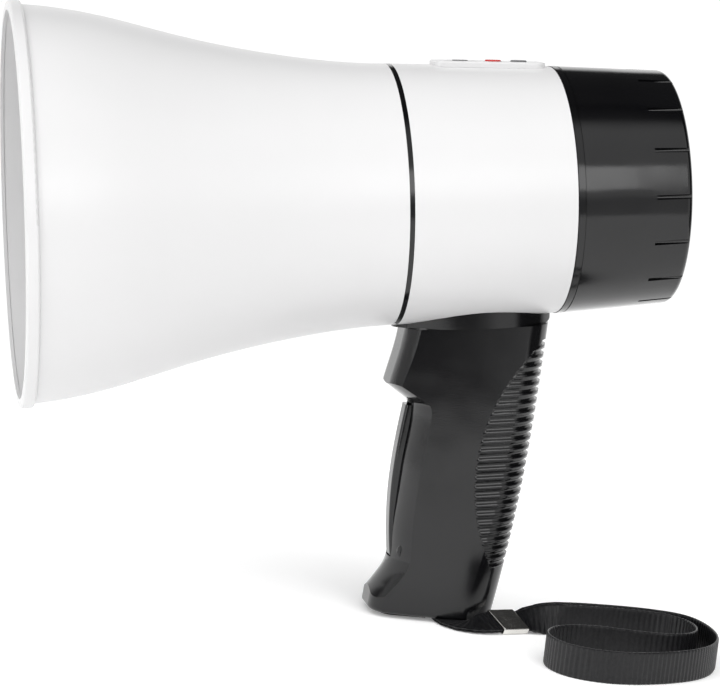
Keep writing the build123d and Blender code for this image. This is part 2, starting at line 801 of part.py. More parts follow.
with BuildPart() as trigger_spring:
    with BuildLine() as coil:
        Helix(pitch=1.6, height=spring_rear - spring_front - 0.8, radius=2.6,
              center=(mouth_x + spring_front + 0.4, 0, spring_height), direction=(1, 0, 0))
    with BuildSketch(Plane(origin=coil.line @ 0, z_dir=coil.line % 0)):
        Circle(0.35)
    sweep(is_frenet=True)
save(trigger_spring.part, "trigger_spring")

switch_height = 79.0
switch_front = 176.0

with BuildPart() as talk_switch:
    with BuildSketch(grip_side):
        with Locations((switch_front + 5, switch_height)):
            Rectangle(10, 8)
    extrude(amount=5, both=True)
    with BuildSketch(Plane(origin=(mouth_x + switch_front, 0, switch_height), z_dir=(1, 0, 0))):
        Circle(1.9)
    extrude(amount=6, mode=Mode.SUBTRACT)
save(talk_switch.part, "talk_switch")

with BuildPart() as switch_bracket:
    with BuildSketch(grip_side):
        with Locations((switch_front + 11.2, switch_height)):
            Rectangle(2.4, 8)
    extrude(amount=grip_half_width - grip_wall, both=True)
    add(grip_inside, mode=Mode.INTERSECT)
save(switch_bracket.part, "switch_bracket")

with BuildPart() as switch_plunger:
    with BuildSketch(Plane(origin=(mouth_x + 172.3, 0, switch_height), z_dir=(1, 0, 0))):
        Circle(1.5)
    extrude(amount=6.2)
save(switch_plunger.part, "switch_plunger")

# ================================================================ foot
bar_along = 191.0              # middle of the strap bar
bar_height = 5.6
bar_across = -1.0
bar_radius = 1.5
pocket_length = 19.0
pocket_width = 16.0
pocket_middle = -3.5

with BuildPart() as base_plate:
    add(grip_form(grip_wall + 0.1, grip_base, grip_top))
    with BuildSketch(Plane.XY.offset(grip_base + 2.2)):
        Rectangle(400, 100)
    extrude(amount=200, mode=Mode.SUBTRACT)
    with BuildSketch(Plane.XY.offset(grip_base)):
        with Locations((mouth_x + bar_along, pocket_middle)):
            Rectangle(pocket_length + 3, pocket_width + 3)
    extrude(amount=8.6)
    with BuildSketch(Plane.XY.offset(grip_base)):
        with Locations((mouth_x + bar_along, pocket_middle)):
            Rectangle(pocket_length, pocket_width)
    extrude(amount=7.2, mode=Mode.SUBTRACT)
    with BuildSketch(Plane(origin=(mouth_x + bar_along, bar_across, bar_height), z_dir=(1, 0, 0))):
        Circle(bar_radius)
    extrude(amount=pocket_length / 2 + 1, both=True, mode=Mode.SUBTRACT)
save(base_plate.part, "base_plate")

with BuildPart() as strap_bar:
    with BuildSketch(Plane(origin=(mouth_x + bar_along, bar_across, bar_height), z_dir=(1, 0, 0))):
        Circle(bar_radius)
    extrude(amount=pocket_length / 2 + 1, both=True)
save(strap_bar.part, "strap_bar")

pad_front = 164.5
pad_rear = 205.5
pad_half_width = 8.5

with BuildPart() as foot_pad:
    with BuildSketch():
        with Locations((mouth_x + (pad_front + pad_rear) / 2, 0)):
            RectangleRounded(pad_rear - pad_front, 2 * pad_half_width, 5)
        with Locations((mouth_x + bar_along, -4)):
            Rectangle(pocket_length - 2.5, 20, mode=Mode.SUBTRACT)
    extrude(amount=grip_base)
save(foot_pad.part, "foot_pad")

# ================================================================ wrist strap, lying on the ground
def across_strap(along, across, height, heading, bank):
    """Plane square to the webbing: local x across its width, with the left edge lifted by bank."""
    turn = radians(heading)
    lift = radians(bank)
    left = Vector(-sin(turn) * cos(lift), cos(turn) * cos(lift), sin(lift))
    return Plane(origin=(mouth_x + along, across, height), x_dir=left, z_dir=(cos(turn), sin(turn), 0))


def webbing(stations, layers, ruled=False):
    """Twisting webbing lofted through its stations."""
    with BuildPart() as length_of_web:
        for place in stations:
            with BuildSketch(across_strap(*place)):
                Rectangle(web_width, layers * web_thickness)
        loft(ruled=ruled)
    return length_of_web.part


ferrule_height = 4.0
ferrule_along = 213.5
ferrule_across = -22.5
ferrule_heading = 25.0
ferrule_bank = 22.0
ferrule_length = 12.6
ferrule_reach = (
    ferrule_length / 2 * cos(radians(ferrule_heading)),
    ferrule_length / 2 * sin(radians(ferrule_heading)),
)
ferrule_start = (ferrule_along - ferrule_reach[0], ferrule_across - ferrule_reach[1])
ferrule_stop = (ferrule_along + ferrule_reach[0], ferrule_across + ferrule_reach[1])
ferrule_middle = (ferrule_along, ferrule_across, ferrule_height, ferrule_heading, ferrule_bank)

neck_stations = [
    (191.0, -2.4, 2.95, -90, 0),
    (191.0, -5.5, 2.0, -90, 0),
    (191.0, -9.8, 0.98, -90, 0),
    (191.2, -16.5, 0.9, -87, 0),
    (192.8, -22.0, 1.25, -66, 3),
    (196.0, -26.6, 2.2, -38, 12),
    (201.3, -28.0, 3.4, -4, 19),
    (*ferrule_start, ferrule_height, ferrule_heading, ferrule_bank),
]

with BuildPart() as strap_neck:
    add(webbing(neck_stations, 2, ruled=True))
    with BuildSketch(Plane(origin=(mouth_x + bar_along, bar_across, bar_height), x_dir=(0, 1, 0),
                           z_dir=(1, 0, 0))):
        Circle(bar_radius + 0.1 + 2 * web_thickness)
        Circle(bar_radius + 0.1, mode=Mode.SUBTRACT)
    extrude(amount=web_width / 2, both=True)
save(strap_neck.part, "strap_neck")

with BuildPart() as strap_ferrule:
    with BuildSketch(across_strap(*ferrule_middle)):
        RectangleRounded(web_width + 1.5, 2 * web_thickness + 1.5, 0.9)
    extrude(amount=ferrule_length / 2, both=True)
save(strap_ferrule.part, "strap_ferrule")

web_clear = 0.15               # lower edge of the standing webbing above the ground
stand_height = web_clear + web_width / 2
lay = web_thickness / 2
loop_route = [
    (239.0, -15.2), (256.0, -13.6), (273.0, -14.2), (288.0, -20.0), (292.5, -38.0), (290.5, -62.0),
    (279.0, -84.0), (258.0, -99.0), (236.0, -106.0), (219.5, -99.0), (214.5, -81.0), (221.5, -64.0),
    (239.0, -57.0), (257.0, -62.5), (274.0, -63.0), (285.0, -51.0), (286.5, -34.0), (279.0, -21.8),
    (265.0, -19.3), (252.0, -19.6), (239.0, -20.8),
]


def route_radii(route):
    """Radius of the arc at each inner point: 0.45 of the shorter run over tan(half the turn)."""
    radii = []
    for before, here, after in zip(route, route[1:], route[2:]):
        arriving = Vector(*here) - Vector(*before)
        leaving = Vector(*after) - Vector(*here)
        half_turn = radians(arriving.get_angle(leaving)) / 2
        radii.append(0.45 * min(arriving.length, leaving.length) / tan(half_turn))
    return radii


loop_radii = route_radii(loop_route)
print("strap loop radii:", [round(radius, 1) for radius in loop_radii])


def heading_of(start, stop):
    return Vector(1, 0, 0).get_signed_angle(Vector(*stop) - Vector(*start), Vector(0, 0, 1))


with BuildPart() as strap_loop:
    with BuildLine() as loop_line:
        FilletPolyline(*[(mouth_x + along, across, stand_height) for along, across in loop_route],
                       radius=loop_radii)
    with BuildSketch(Plane(origin=loop_line.line @ 0, x_dir=(0, 0, 1), z_dir=loop_line.line % 0)):
        Rectangle(web_width, web_thickness)
    sweep()
loop_length = sum(edge.length for edge in loop_line.edges())
print("strap loop length", round(loop_length, 1), "volume over section x length",
      round(strap_loop.part.volume / (loop_length * web_width * web_thickness), 4))
save(strap_loop.part, "strap_loop")

out_heading = heading_of(loop_route[0], loop_route[1])
back_heading = heading_of(loop_route[-1], loop_route[-2])
out_stations = [
    (*ferrule_stop, ferrule_height - 1.1 * lay, ferrule_heading, ferrule_bank),
    (224.5, -17.0, 4.6, 18, 44),
    (231.0, -15.9, 5.6, 8, 68),
    (*loop_route[0], stand_height, out_heading, 90),
]
back_stations = [
    (*ferrule_stop, ferrule_height + 1.1 * lay, ferrule_heading, ferrule_bank),
    (225.0, -20.2, 5.4, 13, 44),
    (231.5, -20.6, 5.8, 0, 68),
    (*loop_route[-1], stand_height, back_heading, 90),
]

with BuildPart() as strap_twist_out:
    add(webbing(out_stations, 1))
save(strap_twist_out.part, "strap_twist_out")

with BuildPart() as strap_twist_back:
    add(webbing(back_stations, 1))
save(strap_twist_back.part, "strap_twist_back")
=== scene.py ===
"""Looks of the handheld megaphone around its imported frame: materials, wrist strap, studio and camera."""
import json
import math

import bpy
from mathutils import Matrix, Vector


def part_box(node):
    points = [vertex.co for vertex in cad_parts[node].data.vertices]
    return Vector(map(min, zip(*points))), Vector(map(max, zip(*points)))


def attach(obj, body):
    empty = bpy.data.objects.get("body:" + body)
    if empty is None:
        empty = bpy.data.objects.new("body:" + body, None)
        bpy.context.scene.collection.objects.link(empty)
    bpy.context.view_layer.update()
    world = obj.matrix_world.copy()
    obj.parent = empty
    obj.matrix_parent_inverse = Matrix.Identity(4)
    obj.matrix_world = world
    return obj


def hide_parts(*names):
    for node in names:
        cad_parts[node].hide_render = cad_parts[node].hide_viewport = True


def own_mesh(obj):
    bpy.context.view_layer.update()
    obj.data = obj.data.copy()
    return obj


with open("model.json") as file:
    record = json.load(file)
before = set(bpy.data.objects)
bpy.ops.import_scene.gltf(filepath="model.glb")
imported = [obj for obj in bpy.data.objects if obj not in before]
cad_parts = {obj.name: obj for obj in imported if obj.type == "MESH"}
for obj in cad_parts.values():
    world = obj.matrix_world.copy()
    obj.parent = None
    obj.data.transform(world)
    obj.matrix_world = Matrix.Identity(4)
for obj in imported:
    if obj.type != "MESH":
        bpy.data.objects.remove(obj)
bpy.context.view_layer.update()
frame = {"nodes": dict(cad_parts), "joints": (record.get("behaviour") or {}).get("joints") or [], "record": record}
nodes = frame["nodes"]
mm = 0.001

# ---------------------------------------------------------------- the horn's own axes
joints = {joint["name"]: joint for joint in frame["joints"]}
rearward = Vector(joints["rear_cap_twist"]["axis"]).normalized()
across = Vector((0, 1, 0))
upward = rearward.cross(across) * -1
if upward.z < 0:
    upward.negate()
mouth = Vector(joints["rear_cap_twist"]["pos_m"]) - rearward * 240 * mm


def horn_point(along, side, up):
    """Point given in millimetres along, across and square to the horn's axis, from the mouth's centre."""
    return mouth + (rearward * along + across * side + upward * up) * mm


# ---------------------------------------------------------------- node materials
class Shader:
    """A node material with one Principled shader, new or given, and short ways to feed it."""

    def __init__(self, name, material=None):
        self.material = material or bpy.data.materials.new(name)
        self.material.use_nodes = True
        self.tree = self.material.node_tree
        self.skin = self.tree.nodes["Principled BSDF"]
        self.place = self.node("ShaderNodeTexCoord").outputs["Object"]

    def node(self, kind, **inputs):
        made = self.tree.nodes.new(kind)
        for key, value in inputs.items():
            self.feed(made.inputs[key.replace("_", " ")], value)
        return made

    def feed(self, socket, value):
        if isinstance(value, bpy.types.NodeSocket):
            self.tree.links.new(value, socket)
        else:
            socket.default_value = value

    def set(self, **inputs):
        for key, value in inputs.items():
            self.feed(self.skin.inputs[key.replace("_", " ")], value)

    def noise(self, scale, detail=2.0, rough=0.5, stretch=(1, 1, 1)):
        placed = self.node("ShaderNodeMapping", Vector=self.place, Scale=stretch)
        return self.node("ShaderNodeTexNoise", Vector=placed.outputs[0], Scale=scale, Detail=detail,
                         Roughness=rough).outputs["Fac"]

    def spread(self, source, low, high, start=0.3, stop=0.7):
        spread = self.node("ShaderNodeMapRange", Value=source)
        for name, value in (("From Min", start), ("From Max", stop), ("To Min", low), ("To Max", high)):
            spread.inputs[name].default_value = value
        return spread.outputs[0]

    def mix(self, factor, dark, light):
        mixed = self.node("ShaderNodeMix")
        mixed.data_type = "RGBA"
        self.feed(mixed.inputs[0], factor)
        self.feed(mixed.inputs[6], (*dark, 1))
        self.feed(mixed.inputs[7], (*light, 1))
        return mixed.outputs[2]

    def maths(self, operation, first, second=0.0):
        made = self.tree.nodes.new("ShaderNodeMath")
        made.operation = operation
        self.feed(made.inputs[0], first)
        self.feed(made.inputs[1], second)
        return made.outputs[0]

    def from_mouth(self, axis):
        """Millimetres from the middle of the mouth, measured along one of the horn's axes."""
        along = self.tree.nodes.new("ShaderNodeVectorMath")
        along.operation = "DOT_PRODUCT"
        self.feed(along.inputs[0], self.place)
        along.inputs[1].default_value = axis / mm
        return self.maths("SUBTRACT", along.outputs["Value"], mouth.dot(axis) / mm)

    def bump(self, height, distance, strength=1.0, under=None):
        bumped = self.node("ShaderNodeBump", Height=height, Distance=distance, Strength=strength)
        if under is not None:
            self.feed(bumped.inputs["Normal"], under)
        return bumped.outputs[0]


def plastic(name, dark, light, rough_low, rough_high, grain=0.00001, wave=0.0, ior=1.5):
    """Moulded plastic: slow colour drift, patchy gloss, a fine mould grain and slight sink waves."""
    made = Shader(name)
    made.set(Base_Color=made.mix(made.spread(made.noise(22), 0, 1), dark, light))
    made.set(Roughness=made.spread(made.noise(35, 4, 0.6), rough_low, rough_high))
    made.set(IOR=ior)
    normal = made.bump(made.noise(2600, 2), grain)
    if wave:
        normal = made.bump(made.noise(38, 1), wave, under=normal)
    made.set(Normal=normal)
    return made.material


def ribbed(name, *finish, **extra):
    """The same plastic on the grip, where the lips between the grooves are worn round."""
    groove_pitch = 3.7
    first_groove = -60.5
    last_groove = -149.3
    made = Shader(name, plastic(name, *finish, **extra))
    along = made.from_mouth(rearward)
    height = made.from_mouth(upward)
    turn = made.maths("MULTIPLY", made.maths("SUBTRACT", height, first_groove), 2 * math.pi / groove_pitch)
    ridge = made.maths("MULTIPLY", made.maths("COSINE", turn), -0.5)
    reach_x = made.maths("POWER", made.maths("ABSOLUTE", made.maths("SUBTRACT", along, 255.0)), 2.0)
    reach_z = made.maths("POWER", made.maths("ABSOLUTE", made.maths("ADD", height, 120.0)), 2.0)
    from_centre = made.maths("SQRT", made.maths("ADD", reach_x, reach_z))
    inside = made.spread(from_centre, 1.0, 0.0, 74.0, 75.0)
    middle = (first_groove + last_groove) / 2
    off_middle = made.maths("ABSOLUTE", made.maths("SUBTRACT", height, middle))
    half = (first_groove - last_groove) / 2 + groove_pitch / 2
    inside = made.maths("MULTIPLY", inside, made.spread(off_middle, 1.0, 0.0, half - 0.3, half))
    normal = made.bump(made.maths("MULTIPLY", ridge, inside), 0.0005,
                       under=made.skin.inputs["Normal"].links[0].from_socket)
    made.set(Normal=normal)
    return made.material


def metal(name, dark, light, rough_low, rough_high, stretch=(1, 1, 1), grain=0.00001):
    made = Shader(name)
    made.set(Metallic=1.0)
    made.set(Base_Color=made.mix(made.spread(made.noise(140, 3), 0, 1), dark, light))
    brushed = made.noise(700, 4, 0.6, stretch)
    made.set(Roughness=made.spread(brushed, rough_low, rough_high))
    made.set(Normal=made.bump(brushed, grain))
    return made.material


def woven(name):
    """Black nylon webbing: fine twisted yarns over the ribs that the mesh carries."""
    made = Shader(name)
    yarn = made.noise(900, 3, 0.6)
    made.set(Base_Color=made.mix(made.spread(yarn, 0, 1), (0.002, 0.002, 0.0025), (0.008, 0.008, 0.009)))
    made.set(Roughness=made.spread(made.noise(1500, 2), 0.28, 0.42))
    made.set(Sheen_Weight=0.02, Sheen_Roughness=0.4, Specular_IOR_Level=0.36)
    made.set(Normal=made.bump(made.noise(2600, 3, 0.65), 0.00008))
    return made.material


looks = {
    "white_shell": plastic("white_abs", (0.635, 0.633, 0.635), (0.647, 0.644, 0.647), 0.32, 0.36,
                           wave=0.00002),
    "black_gloss": plastic("black_abs", (0.002, 0.002, 0.0025), (0.004, 0.004, 0.0045), 0.07, 0.17,
                           wave=0.0003),
    "black_satin": plastic("black_nylon", (0.012, 0.012, 0.0125), (0.02, 0.02, 0.021), 0.42, 0.56,
                           grain=0.00004),
    "control_grey": plastic("grey_abs", (0.11, 0.11, 0.115), (0.15, 0.15, 0.155), 0.32, 0.45, grain=0.00002),
    "siren_red": plastic("red_abs", (0.42, 0.012, 0.012), (0.5, 0.018, 0.015), 0.2, 0.3),
    "rubber_black": plastic("black_rubber", (0.014, 0.014, 0.014), (0.024, 0.024, 0.023), 0.62, 0.82,
                            grain=0.00005),
    "board_green": plastic("board_green", (0.012, 0.09, 0.035), (0.02, 0.13, 0.05), 0.3, 0.45, grain=0.00002),
    "film": plastic("diaphragm_film", (0.42, 0.26, 0.1), (0.52, 0.34, 0.15), 0.2, 0.32),
    "cell_jacket": plastic("cell_jacket", (0.03, 0.045, 0.08), (0.05, 0.07, 0.12), 0.22, 0.34),
    "steel": metal("zinc_steel", (0.42, 0.42, 0.42), (0.6, 0.6, 0.59), 0.26, 0.42),
    "nickel": metal("nickel_plate", (0.62, 0.61, 0.585), (0.76, 0.75, 0.72), 0.13, 0.27, grain=0.00002),
    "aluminium": metal("aluminium", (0.6, 0.6, 0.61), (0.74, 0.74, 0.75), 0.32, 0.46),
    "ferrite": plastic("ferrite", (0.03, 0.03, 0.031), (0.045, 0.045, 0.046), 0.5, 0.66, grain=0.00006),
    "copper": metal("copper_wire", (0.6, 0.24, 0.1), (0.72, 0.32, 0.15), 0.24, 0.36),
    "webbing": woven("nylon_webbing"),
}
grip_look = ribbed("grip_abs", (0.002, 0.002, 0.0025), (0.004, 0.004, 0.0045), 0.07, 0.17, wave=0.0003)
for entry in frame["record"]["subparts"]:
    mesh = nodes[entry["node"]].data
    mesh.materials.clear()
    if entry["node"] in ("handle_left", "handle_right"):
        mesh.materials.append(grip_look)
    else:
        mesh.materials.append(looks[entry["material_slot"]])

# ---------------------------------------------------------------- wrist strap
web_width = 12.5 * mm
layer = 0.8 * mm
rib_pitch = 2.2 * mm
rib_height = 0.16 * mm
yarns = 15
yarn_height = 0.1 * mm
step = rib_pitch / 6
columns = 2 * yarns + 1


def ground_point(along, side, height):
    """Point in millimetres: along the ground from under the mouth, across, and above the ground."""
    return Vector((mouth.x + along * mm, side * mm, height * mm))


ferrule_heading = math.radians(25)
ferrule_bank = 22.0
ferrule_height = 4.0
ferrule_along = 213.5
ferrule_side = -22.5
ferrule_reach = 6.3
half_lay = 0.44


def by_ferrule(forward, height):
    """Point beside the ferrule's middle, forward of it along its own heading."""
    return (ferrule_along + forward * math.cos(ferrule_heading),
            ferrule_side + forward * math.sin(ferrule_heading), height)


# along, across, height and bank of the webbing at points chosen down its length
neck_route = [
    (191.0, -2.4, 2.95, 0), (191.0, -5.5, 2.0, 0), (191.0, -9.8, 1.05, 0), (191.2, -16.5, 1.0, 0),
    (192.8, -22.0, 1.3, 3), (196.0, -26.6, 2.2, 12), (201.3, -28.0, 3.4, 19),
    (*by_ferrule(-ferrule_reach, ferrule_height), ferrule_bank),
    (*by_ferrule(0, ferrule_height), ferrule_bank),
]
stand = 6.4
# where the loop stands on its edge
upright = [
    (239.0, -15.2), (256.0, -13.6), (273.0, -14.2), (288.0, -20.0), (292.5, -38.0), (290.5, -62.0),
    (279.0, -84.0), (258.0, -99.0), (236.0, -106.0), (219.5, -99.0), (214.5, -81.0), (221.5, -64.0),
    (239.0, -57.0), (257.0, -62.5), (274.0, -63.0), (285.0, -51.0), (286.5, -34.0), (279.0, -21.8),
    (265.0, -19.3), (252.0, -19.6), (239.0, -20.8),
]
loop_route = [
    (*by_ferrule(0, ferrule_height - half_lay), ferrule_bank),
    (*by_ferrule(ferrule_reach, ferrule_height - half_lay), ferrule_bank),
    (224.5, -17.0, 4.6, 44), (231.0, -15.9, 5.6, 68),
    *[(along, side, stand, 90) for along, side in upright],
    (231.5, -20.6, 5.8, 112), (225.0, -20.2, 5.4, 136),
    (*by_ferrule(ferrule_reach, ferrule_height + half_lay), 180 - ferrule_bank),
    (*by_ferrule(0, ferrule_height + half_lay), 180 - ferrule_bank),
]


def smooth_line(route):
    """Points of the spline that the route's points steer, and the bank at each."""
    line = bpy.data.curves.new("strap_route", "CURVE")
    line.dimensions = "3D"
    spline = line.splines.new("NURBS")
    spline.points.add(len(route) - 1)
    for point, (along, side, height, bank) in zip(spline.points, route):
        point.co = (*ground_point(along, side, height), 1)
        point.tilt = math.radians(bank)
        point.radius = bank
    spline.order_u = 3
    spline.use_endpoint_u = True
    spline.resolution_u = 24
    line.bevel_depth = 0
    holder = bpy.data.objects.new("strap_route", line)
    bpy.context.scene.collection.objects.link(holder)
    bpy.context.view_layer.update()
    mesh = holder.to_mesh()
    dense = [vertex.co.copy() for vertex in mesh.vertices]
    holder.to_mesh_clear()
    bpy.data.objects.remove(holder)
    bpy.data.curves.remove(line)
    corners = [ground_point(*stop[:3]) for stop in route]
    nearest = []
    at = 0
    for corner in corners:
        best = min(range(at, len(dense)), key=lambda i: (dense[i] - corner).length)
        nearest.append(best)
        at = best
    nearest[0] = 0
    nearest[-1] = len(dense) - 1
    banks = []
    for first, last, start, stop in zip(nearest, nearest[1:], route, route[1:]):
        for index in range(first, last):
            share = (index - first) / (last - first)
            share = share * share * (3 - 2 * share)
            banks.append(start[3] + (stop[3] - start[3]) * share)
    banks.append(route[-1][3])
    return dense, banks


def even_steps(dense, banks, spacing):
    """The same line at even steps: point, tangent and bank."""
    travelled = [0.0]
    for here, following in zip(dense, dense[1:]):
        travelled.append(travelled[-1] + (following - here).length)
    total = travelled[-1]
    count = max(2, round(total / spacing))
    points = []
    turns = []
    at = 0
    for index in range(count + 1):
        goal = total * index / count
        while at < len(dense) - 2 and travelled[at + 1] < goal:
            at += 1
        gap = travelled[at + 1] - travelled[at]
        share = 0 if gap == 0 else (goal - travelled[at]) / gap
        points.append(dense[at].lerp(dense[at + 1], share))
        turns.append(banks[at] + (banks[at + 1] - banks[at]) * share)
    return points, turns, total


def web_frames(points, turns):
    """At each point, the directions across the webbing and out of its face."""
    frames = []
    for index, point in enumerate(points):
        before = points[max(index - 2, 0)]
        after = points[min(index + 2, len(points) - 1)]
        tangent = (after - before).normalized()
        level = Vector((-tangent.y, tangent.x, 0)).normalized()
        bank = math.radians(turns[index])
        side = level * math.cos(bank) + Vector((0, 0, 1)) * math.sin(bank)
        side = (side - tangent * side.dot(tangent)).normalized()
        frames.append((point, side, tangent.cross(side)))
    return frames


def weave(run, column):
    """Height of the woven face over its mean: ribs across the webbing, broken into yarns."""
    rib = math.cos(2 * math.pi * run / rib_pitch)
    yarn = math.cos(math.pi * column)
    edge = min(column, columns - 1 - column)
    fade = min(1.0, 0.35 + 0.3 * edge)
    return fade * (rib_height * rib + yarn_height * yarn * (0.6 + 0.4 * rib))


def add_ribbon(vertices, faces, frames, offset, start_run=0.0):
    """Adds a strip of webbing along its frames, shifted square to its face by offset."""
    base = len(vertices)
    run = start_run
    ring = 2 * columns
    for index, (point, side, out) in enumerate(frames):
        if index:
            run += (point - frames[index - 1][0]).length
        middle = point + out * offset
        for face in (1, -1):
            order = range(columns) if face > 0 else range(columns - 1, -1, -1)
            for column in order:
                share = 2 * column / (columns - 1) - 1
                taper = 1 - 0.55 * max(0.0, abs(share) - 0.9) / 0.1
                height = face * (layer / 2 * taper + weave(run, column))
                vertices.append(middle + side * (web_width / 2 * share) + out * height)
    for index in range(len(frames) - 1):
        low = base + index * ring
        for corner in range(ring):
            following = (corner + 1) % ring
            faces.append((low + corner, low + following, low + ring + following, low + ring + corner))
    faces.append(tuple(base + corner for corner in reversed(range(ring))))
    last = base + (len(frames) - 1) * ring
    faces.append(tuple(last + corner for corner in range(ring)))


neck_points, neck_turns, neck_length = even_steps(*smooth_line(neck_route), step)
loop_points, loop_turns, loop_length = even_steps(*smooth_line(loop_route), step)
vertices = []
faces = []
neck_frames = web_frames(neck_points, neck_turns)
for offset in (-half_lay * mm, half_lay * mm):
    add_ribbon(vertices, faces, neck_frames, offset)
add_ribbon(vertices, faces, web_frames(loop_points, loop_turns), 0.0)

bar_low, bar_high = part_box("strap_bar")
bar_middle = (Vector(bar_low) + Vector(bar_high)) / 2
wrap_radius = 2.4 * mm
wrap_steps = 60
wrap_frames = []
for index in range(wrap_steps + 1):
    angle = math.radians(-60 - 300 * index / wrap_steps)
    out = Vector((0, math.cos(angle), math.sin(angle)))
    wrap_frames.append((bar_middle + out * wrap_radius, Vector((1, 0, 0)), out))
add_ribbon(vertices, faces, wrap_frames, 0.0)

strap_mesh = bpy.data.meshes.new("wrist_strap")
strap_mesh.from_pydata([tuple(vertex) for vertex in vertices], [], faces)
strap_mesh.validate()
strap_mesh.shade_smooth()
strap_mesh.materials.append(looks["webbing"])
wrist_strap = bpy.data.objects.new("wrist_strap", strap_mesh)
bpy.context.scene.collection.objects.link(wrist_strap)
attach(wrist_strap, "megaphone")
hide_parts("strap_neck", "strap_loop", "strap_twist_out", "strap_twist_back")

# ---------------------------------------------------------------- crimped ferrule
ferrule_length = 2 * ferrule_reach * mm
ferrule_half_width = 7.0 * mm
ferrule_half_height = 1.55 * mm
sheet_thickness = 0.45 * mm
crimp_depth = 0.16 * mm
ferrule_middle = ground_point(ferrule_along, ferrule_side, ferrule_height)
ferrule_forward = Vector((math.cos(ferrule_heading), math.sin(ferrule_heading), 0))
ferrule_level = Vector((-ferrule_forward.y, ferrule_forward.x, 0))
lift = math.radians(ferrule_bank)
ferrule_across = ferrule_level * math.cos(lift) + Vector((0, 0, math.sin(lift)))
ferrule_out = ferrule_forward.cross(ferrule_across)


def ferrule_ring(half_width, half_height, radius, count=8):
    """Corner-rounded outline in the ferrule's cross-section."""
    outline = []
    for turn, (x, y) in enumerate(((1, 1), (-1, 1), (-1, -1), (1, -1))):
        for index in range(count + 1):
            angle = math.pi / 2 * (turn + index / count)
            outline.append(((half_width - radius) * x + radius * math.cos(angle),
                            (half_height - radius) * y + radius * math.sin(angle)))
        following = ((-1, 1), (-1, -1), (1, -1), (1, 1))[turn]
        start = outline[-1]
        stop = ((half_width - radius) * following[0] + radius * math.cos(math.pi / 2 * (turn + 1)),
                (half_height - radius) * following[1] + radius * math.sin(math.pi / 2 * (turn + 1)))
        for index in range(1, 12):
            share = index / 12
            outline.append((start[0] + (stop[0] - start[0]) * share, start[1] + (stop[1] - start[1]) * share))
    return outline


ferrule_vertices = []
ferrule_faces = []
slices = 40
outer_ring = ferrule_ring(ferrule_half_width, ferrule_half_height, 0.9 * mm)
inner_ring = ferrule_ring(ferrule_half_width - sheet_thickness, ferrule_half_height - sheet_thickness,
                          0.5 * mm)
size = len(outer_ring)
for index in range(slices + 1):
    share = 2 * index / slices - 1
    rounding = 0.12 * mm * max(0.0, (abs(share) - 0.94) / 0.06) ** 2
    for ring_index, outline in enumerate((outer_ring, inner_ring)):
        for x, y in outline:
            pinch = crimp_depth * math.exp(-(share / 0.34) ** 2) * (1 - abs(x / ferrule_half_width) ** 4)
            inset = rounding if ring_index == 0 else 0
            height = y - math.copysign(min(abs(y), pinch + inset), y)
            ferrule_vertices.append(ferrule_middle + ferrule_forward * (share * ferrule_length / 2)
                                    + ferrule_across * (x * (1 - inset / ferrule_half_width))
                                    + ferrule_out * height)
for index in range(slices):
    low = index * 2 * size
    for corner in range(size):
        following = (corner + 1) % size
        ferrule_faces.append((low + corner, low + following,
                              low + 2 * size + following, low + 2 * size + corner))
        ferrule_faces.append((low + size + following, low + size + corner,
                              low + 3 * size + corner, low + 3 * size + following))
for index in (0, slices):
    low = index * 2 * size
    for corner in range(size):
        following = (corner + 1) % size
        quad = (low + corner, low + size + corner, low + size + following, low + following)
        ferrule_faces.append(quad if index == 0 else quad[::-1])
ferrule_mesh = bpy.data.meshes.new("ferrule_crimp")
ferrule_mesh.from_pydata([tuple(vertex) for vertex in ferrule_vertices], [], ferrule_faces)
ferrule_mesh.validate()
ferrule_mesh.shade_smooth()
ferrule_mesh.materials.append(looks["nickel"])
ferrule_crimp = bpy.data.objects.new("ferrule_crimp", ferrule_mesh)
bpy.context.scene.collection.objects.link(ferrule_crimp)
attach(ferrule_crimp, "megaphone")
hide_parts("strap_ferrule")

# the spring behind the trigger: a copy with its own mesh rides on the megaphone in place of the imported one
spring_coil = nodes["trigger_spring"].copy()
spring_coil.data = nodes["trigger_spring"].data.copy()
spring_coil.name = "trigger_spring_coil"
bpy.context.scene.collection.objects.link(spring_coil)
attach(spring_coil, "megaphone")
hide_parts("trigger_spring")
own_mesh(spring_coil)

# ---------------------------------------------------------------- floor, light and camera
floor_radius = 0.65
floor_sides = 160
floor_mesh = bpy.data.meshes.new("studio_floor")
floor_mesh.from_pydata([(floor_radius * math.cos(2 * math.pi * index / floor_sides),
                         floor_radius * math.sin(2 * math.pi * index / floor_sides), 0)
                        for index in range(floor_sides)], [], [tuple(range(floor_sides))])
floor_look = Shader("studio_floor")
floor_look.set(Base_Color=(0.97, 0.97, 0.97, 1), Roughness=0.85, Specular_IOR_Level=0.1,
               Emission_Color=(1, 1, 1, 1), Emission_Strength=0.19)
floor_mesh.materials.append(floor_look.material)
studio_floor = bpy.data.objects.new("studio_floor", floor_mesh)
bpy.context.scene.collection.objects.link(studio_floor)

world = bpy.data.worlds.new("studio")
bpy.context.scene.world = world
world.use_nodes = True
sky = world.node_tree
backdrop = sky.nodes["Background"]


def sky_node(kind, *links, **settings):
    """A node of the world's tree, its inputs linked in order."""
    made = sky.nodes.new(kind)
    for key, value in settings.items():
        setattr(made, key, value)
    for socket, source in zip(made.inputs, links):
        if isinstance(source, bpy.types.NodeSocket):
            sky.links.new(source, socket)
        else:
            socket.default_value = source
    return made


direction = sky_node("ShaderNodeTexCoord").outputs["Generated"]
split = sky_node("ShaderNodeSeparateXYZ", direction)
towards = sky_node("ShaderNodeMath", split.outputs["Y"], -1.0, operation="MULTIPLY").outputs[0]
turn = sky_node("ShaderNodeMath", split.outputs["X"], towards, operation="ARCTAN2").outputs[0]
turn_share = sky_node("ShaderNodeMapRange", turn, -math.pi, math.pi, 0.0, 1.0).outputs[0]
